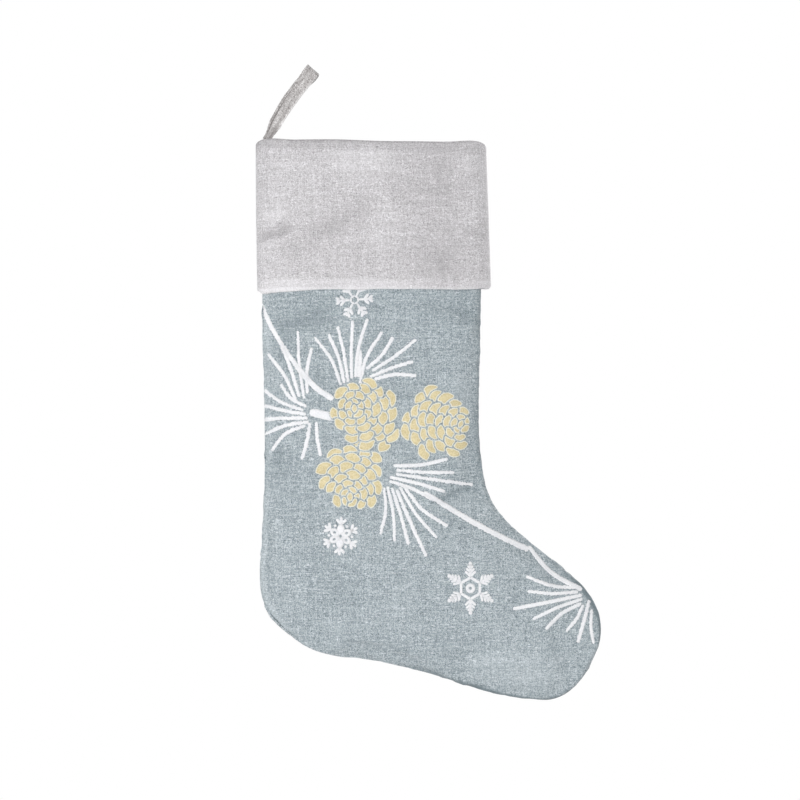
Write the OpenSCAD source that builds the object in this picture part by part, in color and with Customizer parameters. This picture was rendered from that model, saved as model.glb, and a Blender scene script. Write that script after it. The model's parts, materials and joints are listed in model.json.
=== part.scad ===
// A lined cloth stocking with a deep turned-down cuff and a hanging loop.
// Millimetres. X runs from heel to toe, Y from front to back, Z up.
// The origin is the axis of the hook that the loop hangs on.

/* [Body] */
// Width of the leg at the mouth
leg_w = 199.5; // [180:0.5:220]
// Height from the mouth to the sole under the toe
body_h = 507; // [470:1:540]
// Half the depth of the filled-out body, front to back
half_depth = 15; // [14.5:0.5:18]
// Thickness of the printed outer cloth
shell_t = 1.4; // [1.0:0.1:1.5]
// Thickness of the lining cloth
lining_t = 0.6; // [0.4:0.1:0.6]

/* [Cuff] */
// Depth of the cuff, from its fold to its hem
cuff_h = 136; // [100:1:160]
// How far the cuff stands out past the leg at the heel side
cuff_out_heel = 3; // [3:0.1:4]
// How far the cuff stands out past the leg at the toe side
cuff_out_toe = 3.5; // [3.5:0.1:5]
// How much further the hem flares at the toe side
cuff_flare = 4.5; // [2:0.5:6]
// Thickness of the cuff cloth
cuff_t = 1.2; // [0.8:0.1:1.2]

/* [Loop] */
// Width of the doubled strap
strap_w = 13; // [13:0.5:15]
// Thickness of the strap
strap_t = 1.2; // [1:0.1:1.4]
// Radius of the hook that the loop is made for
hook_r = 3; // [2.8:0.1:3.2]
// Distance from the hook's axis to the tack in the mouth
strap_len = 68; // [60:1:80]
// Lean of the strap towards the toe side, in degrees
lean = 34; // [20:0.5:35]

/* [Hidden] */
$fn = 48;

blue_cloth = [0.58, 0.65, 0.68];
silver_cloth = [0.78, 0.75, 0.75];
lining_cloth = [0.86, 0.87, 0.86];
blue_thread = [0.50, 0.57, 0.60];
silver_thread = [0.70, 0.68, 0.68];

// Where the tack and the fold of the strap lie under the hook.
tack = [-strap_len * sin(lean), -strap_len * cos(lean)];
fold_drop = strap_len - 8;
tack_inset = 8.5;
tack_rise = 3;
// The mouth's heel-side corner, from which the outlines below are drawn.
corner = [tack.x - tack_inset, tack.y - tack_rise];

// The two edges of the leg and foot as chains of cubic curves, drawn on a
// stocking 199.5 mm wide and 507 mm high. Both have one curve to each stretch:
// calf, ankle, heel, arch, ball of the foot and toe.
nominal = [199.5, 507];
heel_edge = [[0, 0], [0, -100], [4, -180], [4, -280],
    [4, -340], [-1, -360], [-0.5, -396],
    [-0.5, -428], [11, -437], [33, -453],
    [56, -468], [91, -466], [122, -473],
    [161, -480], [203, -502], [246, -506.5],
    [268, -508], [284, -493], [296, -476]];
toe_edge = [[199.5, 0], [200, -91], [196.5, -141], [196, -231],
    [195.5, -266], [197, -286], [201.5, -309],
    [205.5, -325], [212.5, -334], [221.5, -344],
    [235.5, -357], [250.5, -368], [264.5, -379],
    [283.5, -395], [296.5, -407], [302.5, -422],
    [306.5, -433], [307, -449], [302, -463]];
stretches = 6;
toe_start = 3;
// How fast the body's middle line runs through the last stretch.
toe_pace = 25;
// How fast both edges run down from the mouth.
mouth_pace = 300;

// Gaps between the layers, and the levels they leave, measured inwards from
// the outside of the body cloth and from the outside of the cuff.
layer_gap = 0.3;
lining_level = shell_t + layer_gap;
facing_t = 0.9;
facing_level = cuff_t + layer_gap;
cuff_depth = half_depth + cuff_out_heel + 0.2;
limb_level = cuff_out_heel + lining_level + lining_t + 0.9;
mouth_drop = 2.2;
corner_drop = 3.5;
turn_in = 11;
roll = 1;
hem_rise = 2.5;
hem_flare_depth = 1.5;

// Cells along and across each sheet of cloth.
rows = 26;
cols = 12;

function cubic(a, b, c, d, f) =
    a * pow(1 - f, 3) + b * 3 * f * pow(1 - f, 2) + c * 3 * f * f * (1 - f) + d * pow(f, 3);
function along(chain, t) =
    let (i = min(floor(t), stretches - 1), k = 3 * i)
    cubic(chain[k], chain[k + 1], chain[k + 2], chain[k + 3], t - i);
function placed(p) =
    [corner.x + p.x * leg_w / nominal.x, corner.y + p.y * body_h / nominal.y];
// A point on an edge, moved level mm into the cloth; turn is 1 or -1.
function edge_point(chain, t, level, turn) =
    let (step = 0.01,
         ahead = along(chain, min(stretches, t + step)),
         behind = along(chain, max(0, t - step)),
         run = (ahead - behind) / norm(ahead - behind))
    placed(along(chain, t)) + level * turn * [-run.y, run.x];

// Share of the full depth at s, which runs from 0 to 1 across the cloth.
function bulge(s) = sqrt(max(0, 1 - pow(abs(2 * s - 1), 3)));
// Share of the full depth at t, which falls to nothing at the toe.
function toe_fall(u) = sqrt(max(0, 1 - pow(max(0, (u * stretches - toe_start) / (stretches - toe_start)), 3)));
// Columns gather towards both edges, where the cloth turns.
function across(j) = (1 - cos(180 * j / cols)) / 2;
// The mouth drops a little at its two corners.
function drop(s) = corner_drop * pow(abs(2 * s - 1), 20);

// A point on the body, level mm inside the outer cloth, on side -1 or 1.
function body_point(t, s, level, side) =
    let (a = edge_point(heel_edge, t, level, 1),
         b = edge_point(toe_edge, t, level, -1),
         p = a * (1 - s) + b * s,
         last = stretches - level / toe_pace)
    [p.x, side * (half_depth - level) * bulge(s) * toe_fall(min(1, t / last)), p.y];

// One side of the body at one level, as rows of points from mouth to toe.
function body_sheet(level, side) =
    let (last = stretches - level / toe_pace)
    [for (i = [0 : rows])
        [for (j = [0 : cols])
            let (s = across(j), first = (mouth_drop + drop(s)) / mouth_pace,
                 f = i / rows, ease = f * (1.35 - 0.35 * f))
            body_point(first + (last - first) * ease, s, level, side)]];

// The cuff's two ends at depth z under its fold, where v is 0 to 1.
function cuff_heel(v) = -cuff_out_heel - v - 1.3 * sin(180 * v);
function cuff_toe(v) = leg_w + cuff_out_toe + cuff_flare * v;
// A point on the cuff, level mm inside its outer face and z under its fold.
function cuff_point(z, s, level, side) =
    let (v = z / cuff_h,
         a = cuff_heel(v) + level,
         b = cuff_toe(v) - level,
         depth = cuff_depth + hem_flare_depth * v - level)
    [corner.x + a + (b - a) * s, side * depth * bulge(s), corner.y - z - drop(s) * (1 - v)];
// Depth of the hem under the fold, a little less at the toe side.
function hem(s) = cuff_h - hem_rise * s;
// A cuff sheet from a list of [share of the hem's depth, fixed depth, level].
function cuff_sheet(profile, side) =
    [for (q = profile)
        [for (j = [0 : cols])
            let (s = across(j))
            cuff_point(q[0] * hem(s) + q[1], s, q[2], side)]];

// A closed solid between two sheets of points that share rows and columns.
module cloth(outer, inner, side) {
    m = len(outer);
    n = len(outer[0]);
    points = [for (sheet = [outer, inner]) for (row = sheet) for (p = row) p];
    function at(k, i, j) = k * m * n + i * n + j;
    function quad(a, b, c, d) = side > 0 ? [[a, b, c], [a, c, d]] : [[c, b, a], [d, c, a]];
    faces = [
        for (i = [0 : m - 2]) for (j = [0 : n - 2])
            each quad(at(0, i, j), at(0, i + 1, j), at(0, i + 1, j + 1), at(0, i, j + 1)),
        for (i = [0 : m - 2]) for (j = [0 : n - 2])
            each quad(at(1, i, j), at(1, i, j + 1), at(1, i + 1, j + 1), at(1, i + 1, j)),
        for (i = [0 : m - 2])
            each quad(at(0, i, 0), at(1, i, 0), at(1, i + 1, 0), at(0, i + 1, 0)),
        for (i = [0 : m - 2])
            each quad(at(0, i, n - 1), at(0, i + 1, n - 1), at(1, i + 1, n - 1), at(1, i, n - 1)),
        for (j = [0 : n - 2])
            each quad(at(0, 0, j), at(0, 0, j + 1), at(1, 0, j + 1), at(1, 0, j)),
        for (j = [0 : n - 2])
            each quad(at(0, m - 1, j), at(1, m - 1, j), at(1, m - 1, j + 1), at(0, m - 1, j + 1))];
    polyhedron(points, faces, convexity = 8);
}

// A thread of the given radius along a path; up is never along the path.
module thread(path, radius, up, closed = false) {
    sides = 6;
    n = len(path);
    function unit(v) = v / norm(v);
    function next(i) = closed ? (i + 1) % n : min(i + 1, n - 1);
    function prev(i) = closed ? (i + n - 1) % n : max(i - 1, 0);
    points = [for (i = [0 : n - 1])
        let (dir = unit(path[next(i)] - path[prev(i)]), side = unit(cross(dir, up)),
             lift = cross(side, dir))
        for (k = [0 : sides - 1])
            path[i] + radius * (side * cos(360 * k / sides) + lift * sin(360 * k / sides))];
    rings = closed ? n : n - 1;
    walls = [for (i = [0 : rings - 1]) for (k = [0 : sides - 1])
        let (a = i * sides + k, b = i * sides + (k + 1) % sides,
             c = ((i + 1) % n) * sides + (k + 1) % sides, d = ((i + 1) % n) * sides + k)
        each [[a, b, c], [a, c, d]]];
    caps = closed ? [] : [[for (k = [sides - 1 : -1 : 0]) k],
        [for (k = [0 : sides - 1]) (n - 1) * sides + k]];
    polyhedron(points, concat(walls, caps), convexity = 8);
}

// The printed outer cloth and the lining are each cut as a front and a back.
module body_panel(side, level, thickness) {
    cloth(body_sheet(level, side), body_sheet(level + thickness, side), side);
}
module front_panel() {
    color(blue_cloth) body_panel(-1, 0, shell_t);
}
module back_panel() {
    color(blue_cloth) body_panel(1, 0, shell_t);
}
module front_lining() {
    color(lining_cloth) body_panel(-1, lining_level, lining_t);
}
module back_lining() {
    color(lining_cloth) body_panel(1, lining_level, lining_t);
}

// The cuff's cloth rises from the hem, rolls over the mouth and turns inside.
module cuff_half(side) {
    over = limb_level + 1;
    outer = [[1, 0, 0], [0.75, 0, 0], [0.5, 0, 0], [0.25, 0, 0], [0, 3, 0], [0, roll, 0],
        [0, 0, roll], [0, 0, over - roll], [0, roll, over], [0, turn_in, over]];
    inner = [[1, 0, cuff_t], [0.75, 0, cuff_t], [0.5, 0, cuff_t], [0.25, 0, cuff_t], [0, 3, cuff_t],
        [0, roll + 0.5, cuff_t], [0, roll + 0.1, cuff_t + 0.4],
        [0, roll + 0.1, limb_level - 0.4], [0, roll + 0.5, limb_level], [0, turn_in, limb_level]];
    cloth(cuff_sheet(outer, side), cuff_sheet(inner, side), -side);
}
module cuff_front() {
    color(silver_cloth) cuff_half(-1);
}
module cuff_back() {
    color(silver_cloth) cuff_half(1);
}
// The facing backs the cuff's cloth between the hem and the mouth.
module facing_half(side) {
    top = 3.5;
    rises = [[1, -0.6], [0.75, 0], [0.5, 0], [0.25, 0], [0, top]];
    outer = [for (r = rises) [r[0], r[1], facing_level]];
    inner = [for (r = rises) [r[0], r[1], facing_level + facing_t]];
    cloth(cuff_sheet(outer, side), cuff_sheet(inner, side), -side);
}
module cuff_facing_front() {
    color(silver_cloth) facing_half(-1);
}
module cuff_facing_back() {
    color(silver_cloth) facing_half(1);
}

// The strap and its root are drawn upright under the hook, then leaned.
knuckle_r = 1.9;
knuckle_w = 1.9;
knuckle_gap = 0.3;
thread_r = 0.75;
running = 0.05;
tab_half = 4.5;
tab_t = 1.2;
window_rise = 2.8;

module leaned() {
    rotate([0, lean, 0]) children();
}
// Extrudes an outline drawn in depth and height across the strap's width.
module across_strap(from, to) {
    translate([from, 0, 0])
        rotate([90, 0, 90])
            linear_extrude(to - from) children();
}
// Half the strap's side view: one strand from the hook to the knuckles.
module strand() {
    bend = -34;
    foot = -fold_drop + 1.2;
    out = hook_r + strap_t;
    polygon([[hook_r, 0], [out, 0], [out, bend], [0.35 + strap_t, foot], [0.35, foot], [hook_r, bend]]);
}
module strap_profile() {
    difference() {
        circle(hook_r + strap_t);
        circle(hook_r);
        translate([-2 * hook_r, -4 * hook_r]) square([4 * hook_r, 4 * hook_r]);
    }
    strand();
    mirror([1, 0]) strand();
}
module strap_knuckle(from, to) {
    translate([from, 0, -fold_drop])
        rotate([0, 90, 0]) cylinder(h = to - from, r = knuckle_r);
}
module hanging_loop() {
    clear = knuckle_w + knuckle_gap;
    color(silver_cloth) leaned() difference() {
        union() {
            across_strap(-strap_w / 2, strap_w / 2) strap_profile();
            strap_knuckle(-strap_w / 2, -clear);
            strap_knuckle(clear, strap_w / 2);
        }
        translate([-clear, -knuckle_r - 1, -fold_drop - knuckle_r - 1])
            cube([2 * clear, 2 * knuckle_r + 2, knuckle_r + 1 + window_rise]);
        translate([-strap_w, 0, -fold_drop])
            rotate([0, 90, 0]) cylinder(h = 2 * strap_w, r = thread_r + running);
    }
}
// The sewn foot of the strap, between its fold and the tack.
module loop_root_tab() {
    shoulder = fold_drop + 2.5;
    color(silver_cloth) leaned() difference() {
        union() {
            strap_knuckle(-knuckle_w, knuckle_w);
            translate([-knuckle_w, -tab_t / 2, -shoulder - 1])
                cube([2 * knuckle_w, tab_t, shoulder + 1 - fold_drop]);
            translate([-tab_half, -tab_t / 2, -strap_len])
                cube([2 * tab_half, tab_t, strap_len - shoulder]);
            translate([0, tab_t / 2, -strap_len])
                rotate([90, 0, 0]) cylinder(h = tab_t, r = tab_half);
        }
        translate([-strap_w, 0, -fold_drop])
            rotate([0, 90, 0]) cylinder(h = 2 * strap_w, r = thread_r);
        translate([0, strap_w, -strap_len])
            rotate([90, 0, 0]) cylinder(h = 2 * strap_w, r = thread_r + running);
    }
}
// The bar of thread across the strap, about which the loop folds over.
module fold_thread() {
    color(silver_thread) leaned()
        translate([-strap_w / 2, 0, -fold_drop])
            rotate([0, 90, 0]) cylinder(h = strap_w, r = thread_r);
}

// The strap's two sewn ends go down inside the mouth on both sides of the tab.
tail_t = 0.9;
tail_half = 2.4;
tail_len = 20;
tail_in = tab_t / 2 + layer_gap;

module tail_leaf() {
    difference() {
        union() {
            translate([-tail_half, 0, -tail_len]) cube([2 * tail_half, tail_t, tail_len]);
            translate([0, tail_t, 0]) rotate([90, 0, 0]) cylinder(h = tail_t, r = tail_half);
        }
        translate([0, 2 * tail_t, 0]) rotate([90, 0, 0]) cylinder(h = 3 * tail_t, r = thread_r);
    }
}
module loop_tail() {
    color(silver_cloth) translate([tack.x, 0, tack.y]) {
        translate([0, tail_in, 0]) tail_leaf();
        translate([0, -tail_in - tail_t, 0]) tail_leaf();
    }
}
// The tack through the tail, about which the strap leans; a knot ends it.
module tack_thread() {
    reach = tail_in + tail_t;
    knot_t = 0.4;
    knot_r = 1.2;
    color(silver_thread) translate([tack.x, 0, tack.y]) rotate([90, 0, 0]) {
        translate([0, 0, -reach]) cylinder(h = 2 * reach, r = thread_r);
        translate([0, 0, reach]) cylinder(h = knot_t, r = knot_r);
        translate([0, 0, -reach - knot_t]) cylinder(h = knot_t, r = knot_r);
    }
}
// Four stitches hold the tail to the turned-in cuff and the lining.
module tail_stitches() {
    reach = 4;
    color(silver_thread)
        for (x = [-1.5, 1.5], z = [-10, -16])
            translate([tack.x + x, reach, tack.y + z])
                rotate([90, 0, 0]) cylinder(h = 2 * reach, r = 0.35);
}

// Seams. Each is one line of thread that runs through the cloths it joins.
ring_steps = 24;
function ring(z, level) =
    [for (side = [-1, 1]) for (k = [0 : ring_steps - 1])
        let (f = k / ring_steps, s = side < 0 ? across(cols * f) : across(cols * (1 - f)))
        cuff_point(z > 0 ? z : hem(s) + z, s, level, side)];
module mouth_seam_thread() {
    color(silver_thread) thread(ring(8, limb_level - 0.3), 0.6, [0, 0, 1], true);
}
module hem_seam_thread() {
    color(silver_thread) thread(ring(-3, cuff_t + layer_gap / 2), 0.35, [0, 0, 1], true);
}
// Down the heel side, round the toe and back up the instep, at one level.
function outline(level) =
    let (steps = 36, first = 0.05, last = stretches - level / toe_pace)
    concat(
        [for (i = [0 : steps]) body_point(first + (last - first) * i / steps, 0, level, 1)],
        [for (i = [steps : -1 : 0]) body_point(first + (last - first) * i / steps, 1, level, 1)]);
module body_seam_thread() {
    color(blue_thread) thread(outline(shell_t / 2), 0.35, [0, 1, 0]);
}
module lining_seam_thread() {
    color(lining_cloth) thread(outline(lining_level + lining_t), 0.2, [0, 1, 0]);
}
module cuff_seam_thread() {
    steps = 12;
    color(silver_thread)
        for (s = [0, 1])
            thread([for (i = [0 : steps]) cuff_point(4 + (cuff_h - 12) * i / steps, s, cuff_t / 2, 1)],
                0.35, [0, 1, 0]);
}

front_panel();
back_panel();
front_lining();
back_lining();
cuff_front();
cuff_back();
cuff_facing_front();
cuff_facing_back();
hanging_loop();
loop_root_tab();
fold_thread();
loop_tail();
tack_thread();
tail_stitches();
mouth_seam_thread();
body_seam_thread();
lining_seam_thread();
cuff_seam_thread();
hem_seam_thread();
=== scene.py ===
"""Looks for the hanging stocking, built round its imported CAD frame. All in metres."""
import json
import math
import random

import bpy
import numpy as np
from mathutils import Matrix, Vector, noise
from mathutils.bvhtree import BVHTree


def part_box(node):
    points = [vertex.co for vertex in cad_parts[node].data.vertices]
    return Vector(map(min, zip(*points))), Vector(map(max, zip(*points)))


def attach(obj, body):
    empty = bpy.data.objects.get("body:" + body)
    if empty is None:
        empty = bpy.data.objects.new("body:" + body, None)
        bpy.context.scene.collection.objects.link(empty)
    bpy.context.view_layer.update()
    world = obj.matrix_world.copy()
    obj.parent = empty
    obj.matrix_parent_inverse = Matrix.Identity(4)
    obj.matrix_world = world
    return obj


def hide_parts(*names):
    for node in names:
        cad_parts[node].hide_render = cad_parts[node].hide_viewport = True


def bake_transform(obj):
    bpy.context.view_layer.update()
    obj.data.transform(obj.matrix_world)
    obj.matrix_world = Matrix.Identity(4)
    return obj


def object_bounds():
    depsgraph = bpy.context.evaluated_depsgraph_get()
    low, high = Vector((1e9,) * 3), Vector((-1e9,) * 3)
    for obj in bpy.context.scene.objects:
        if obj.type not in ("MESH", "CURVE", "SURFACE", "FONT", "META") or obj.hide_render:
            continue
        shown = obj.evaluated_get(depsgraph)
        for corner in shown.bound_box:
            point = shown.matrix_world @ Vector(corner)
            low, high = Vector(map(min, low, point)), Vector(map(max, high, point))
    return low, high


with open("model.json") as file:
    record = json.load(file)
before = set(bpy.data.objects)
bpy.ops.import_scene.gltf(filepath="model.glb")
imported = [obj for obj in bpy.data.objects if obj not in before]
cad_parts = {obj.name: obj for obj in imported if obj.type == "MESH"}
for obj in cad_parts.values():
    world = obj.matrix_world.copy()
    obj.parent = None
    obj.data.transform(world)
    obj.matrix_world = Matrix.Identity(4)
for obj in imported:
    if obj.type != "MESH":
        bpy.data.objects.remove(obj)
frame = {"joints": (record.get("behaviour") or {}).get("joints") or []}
cad_bounds = [[float(c) for c in corner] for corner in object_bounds()]
MM = 0.001

# ---------------------------------------------------------------- the frame
body_low, body_high = (np.array(c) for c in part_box("front_panel"))
cuff_low, cuff_high = (np.array(c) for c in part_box("cuff_front"))
joints = {j["name"]: j for j in frame["joints"]}
tack = np.array(joints["loop_lean"]["pos_m"])
fold = np.array(joints["loop_fold"]["pos_m"])
strap_across = np.array(joints["loop_fold"]["axis"])
strap_up = -tack / np.linalg.norm(tack)
STRAP_LEN = float(np.linalg.norm(tack))

# The two edges of the leg and foot as chains of cubic curves in millimetres
# from the mouth's heel-side corner: calf, ankle, heel, arch, ball and toe.
HEEL_EDGE = [
    (0, 0), (0.5, -100), (4.2, -180), (4.6, -280),
    (4.9, -340), (0.3, -362), (1.2, -398),
    (2.1, -424), (13.6, -434.6), (30.4, -447.8),
    (54, -468.2), (90, -464.2), (122, -473.4),
    (161, -480.8), (203, -500), (246, -503.3),
    (271.5, -507), (283, -494), (297, -476)]
TOE_EDGE = [
    (200.5, 0), (201.5, -91), (199.5, -141), (198, -231),
    (197.5, -266), (199, -286), (203.5, -309),
    (207.5, -325), (214.5, -334), (223.5, -344),
    (237, -357), (251.5, -368), (265.5, -379),
    (284, -395), (297.5, -407), (303.5, -422),
    (308, -433), (308.5, -449), (302.5, -464)]
STRETCHES = 6
TOE_START = 3.0
TOE_PACE = 25 * MM
MOUTH_PACE = 300 * MM


def chain_points(chain, t):
    """Points of a chain of cubics, in metres from the corner, for an array t."""
    pts = np.array(chain, float) * MM
    k = np.minimum(t.astype(int), STRETCHES - 1)
    f = (t - k)[..., None]
    a, b, c, d = (pts[3 * k + i] for i in range(4))
    return a * (1 - f) ** 3 + 3 * b * f * (1 - f) ** 2 + 3 * c * f * f * (1 - f) + d * f ** 3


# The tack is this far in from the mouth's heel-side corner.
TACK_INSET = 8.5 * MM
CORNER = np.array([tack[0] - TACK_INSET, cuff_high[2]])
HALF_DEPTH = -float(body_low[1])
CUFF_H = float(cuff_high[2] - cuff_low[2])


def edge(chain, t, level, turn):
    """An edge moved level metres into the cloth."""
    step = 0.01
    ahead = chain_points(chain, np.minimum(STRETCHES, t + step))
    behind = chain_points(chain, np.maximum(0, t - step))
    run = ahead - behind
    run /= np.linalg.norm(run, axis=-1, keepdims=True)
    inward = turn * np.stack([-run[..., 1], run[..., 0]], axis=-1)
    return chain_points(chain, t) + level * inward + CORNER


def bulge(s):
    """How full the section is, from 0 at its two seams to 1 between them."""
    return np.sqrt(np.clip(1 - np.abs(2 * s - 1) ** 3, 0, 1))


def toe_fall(t):
    """How the fullness falls to nothing at the toe."""
    u = np.clip((t - TOE_START) / (STRETCHES - TOE_START), 0, 1)
    return np.sqrt(np.clip(1 - u ** 3, 0, 1))


def smooth_step(x):
    x = np.clip(x, 0, 1)
    return x * x * (3 - 2 * x)


CORNER_DROP = 3.2 * MM


def mouth_drop(s):
    """The mouth drops at its two corners."""
    return CORNER_DROP * np.abs(2 * s - 1) ** 32


def hump(x, width):
    """1 at x = 0, and falling off on both sides."""
    return np.exp(-(x / width) ** 2)


def gather(n):
    """n shares from 0 to 1 that gather towards both ends."""
    return (1 - np.cos(np.pi * np.linspace(0, 1, n))) / 2


def run_along(points, axis=0):
    """How far along its path each point lies."""
    steps = np.linalg.norm(np.diff(points, axis=axis), axis=-1)
    return np.concatenate([np.zeros_like(steps.take([0], axis)), steps.cumsum(axis)], axis)


# ---------------------------------------------------------------- mesh helpers
def noise_at(points, scale, seed):
    """Smooth noise about -1 to 1 at each point of an array (..., 3)."""
    flat = points.reshape(-1, 3) / scale
    shift = Vector((seed * 7.31, seed * 3.17, seed * 5.77))
    values = [noise.noise(Vector(p) + shift) for p in flat]
    return np.array(values).reshape(points.shape[:-1]) * 1.6


def grid_faces(rows, cols, ring=False, flip=False):
    """The faces of a grid of points; in a ring, the last column meets the first."""
    faces = []
    last = cols if ring else cols - 1
    for i in range(rows - 1):
        for j in range(last):
            k = (j + 1) % cols
            face = (i * cols + j, i * cols + k, (i + 1) * cols + k, (i + 1) * cols + j)
            faces.append(face[::-1] if flip else face)
    return faces


def new_mesh(name, verts, faces, material, uvs=None, wear=None, smooth=True):
    """An object from points and faces.

    uvs gives each point's flat place in metres. The last argument is painted light on the cloth: above 0 a
    painted highlight that pales it, below 0 painted shade that darkens it.
    """
    mesh = bpy.data.meshes.new(name)
    mesh.from_pydata([tuple(v) for v in verts], [], faces)
    mesh.materials.append(material)
    if uvs is not None:
        layer = mesh.uv_layers.new(name="cloth")
        flat = np.asarray(uvs).reshape(-1, 2)
        index = np.zeros(len(mesh.loops), int)
        mesh.loops.foreach_get("vertex_index", index)
        layer.data.foreach_set("uv", flat[index].ravel())
    if wear is not None:
        layer = mesh.attributes.new("wear", "FLOAT", "POINT")
        layer.data.foreach_set("value", np.clip(wear, -1, 1).ravel())
    mesh.validate()
    if smooth:
        mesh.polygons.foreach_set("use_smooth", [True] * len(mesh.polygons))
    obj = bpy.data.objects.new(name, mesh)
    bpy.context.collection.objects.link(obj)
    return obj


def thicken(obj, thickness, offset=-1.0):
    """Gives a sheet its thickness; offset -1 adds it behind the face."""
    mod = obj.modifiers.new("thickness", "SOLIDIFY")
    mod.thickness = thickness
    mod.offset = offset
    mod.use_even_offset = False


def join_parts(parts):
    """Joins lists of (points, faces) into one."""
    verts, faces = [], []
    for pts, fcs in parts:
        base = len(verts)
        verts.extend(pts)
        faces.extend(tuple(base + i for i in f) for f in fcs)
    return verts, faces


# ---------------------------------------------------------------- materials
class Nodes:
    """Builds one material, node by node."""

    def __init__(self, name):
        self.material = bpy.data.materials.new(name)
        self.material.use_nodes = True
        self.tree = self.material.node_tree
        self.tree.nodes.clear()
        self.shader = self.add("BsdfPrincipled")
        self.feed(self.shader.outputs[0], self.add("OutputMaterial").inputs[0])

    def add(self, kind, **settings):
        node = self.tree.nodes.new("ShaderNode" + kind)
        for key, value in settings.items():
            setattr(node, key, value)
        return node

    def feed(self, value, socket):
        """Gives a socket a number, a tuple or another node's output."""
        if isinstance(value, (int, float, tuple)):
            socket.default_value = value
        else:
            self.tree.links.new(value, socket)

    def put(self, **values):
        """Gives the shader's sockets their values."""
        for name, value in values.items():
            self.feed(value, self.shader.inputs[name.replace("_", " ")])

    def math(self, op, a, b=0.0):
        node = self.add("Math", operation=op)
        self.feed(a, node.inputs[0])
        self.feed(b, node.inputs[1])
        return node.outputs[0]

    def vector(self, op, a, b=(0, 0, 0)):
        node = self.add("VectorMath", operation=op)
        self.feed(a, node.inputs[0])
        self.feed(b, node.inputs[1])
        return node.outputs[0]

    def flat_place(self):
        """The cloth's flat coordinates, in millimetres."""
        return self.vector("MULTIPLY", self.add("UVMap", uv_map="cloth").outputs[0], (1000, 1000, 1000))

    def solid_place(self):
        """The object's own coordinates, in millimetres."""
        return self.vector("MULTIPLY", self.add("TexCoord").outputs["Object"], (1000, 1000, 1000))

    def noise(self, place, size, detail=2.0, roughness=0.5):
        """Noise about 0 to 1; size is its grain along x, y and z in millimetres."""
        node = self.add("TexNoise")
        self.feed(self.vector("MULTIPLY", place, tuple(1 / s for s in size)), node.inputs["Vector"])
        for name, value in (("Scale", 1.0), ("Detail", detail), ("Roughness", roughness)):
            node.inputs[name].default_value = value
        return node.outputs["Fac"]

    def cell(self, place, width, height, seed):
        """A random value from 0 to 1 for each cell of a grid, its cells' size in millimetres."""
        spot = self.vector("DIVIDE", place, (width, height, 1))
        spot = self.vector("FLOOR", self.vector("ADD", spot, (seed * 0.37, seed * 0.61, 0)))
        node = self.add("TexWhiteNoise", noise_dimensions="2D")
        self.feed(self.vector("MULTIPLY", spot, (1, 1, 0)), node.inputs["Vector"])
        return node.outputs["Value"]

    def ramp(self, value, low, high):
        """0 where a value is low and 1 where it is high."""
        node = self.add("MapRange")
        self.feed(value, node.inputs["Value"])
        node.inputs["From Min"].default_value = low
        node.inputs["From Max"].default_value = high
        return node.outputs["Result"]

    def mix(self, factor, a, b):
        """A mix of two colours."""
        node = self.add("Mix", data_type="RGBA")
        self.feed(factor, node.inputs[0])
        for value, socket in ((a, node.inputs[6]), (b, node.inputs[7])):
            self.feed((*value, 1) if isinstance(value, tuple) else value, socket)
        return node.outputs[2]

    def bump(self, height, strength, distance):
        """A bumped normal; distance is the height's size in metres."""
        node = self.add("Bump")
        self.feed(height, node.inputs["Height"])
        node.inputs["Strength"].default_value = strength
        node.inputs["Distance"].default_value = distance
        return node.outputs[0]


# Millimetres from one thread of the weave to the next.
PITCH = 0.56
# How far the painted highlight at its full takes the cloth towards its light tone, and the painted shade at
# its full towards its dark.
PAINTED_HIGHLIGHT, PAINTED_SHADE = 0.55, 0.8
# How far the threads wander in millimetres, and how far pinholes and pale
# thread ends change the shade.
WANDER, PINHOLE, DASH = 2.5, 0.34, 0.24


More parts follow.
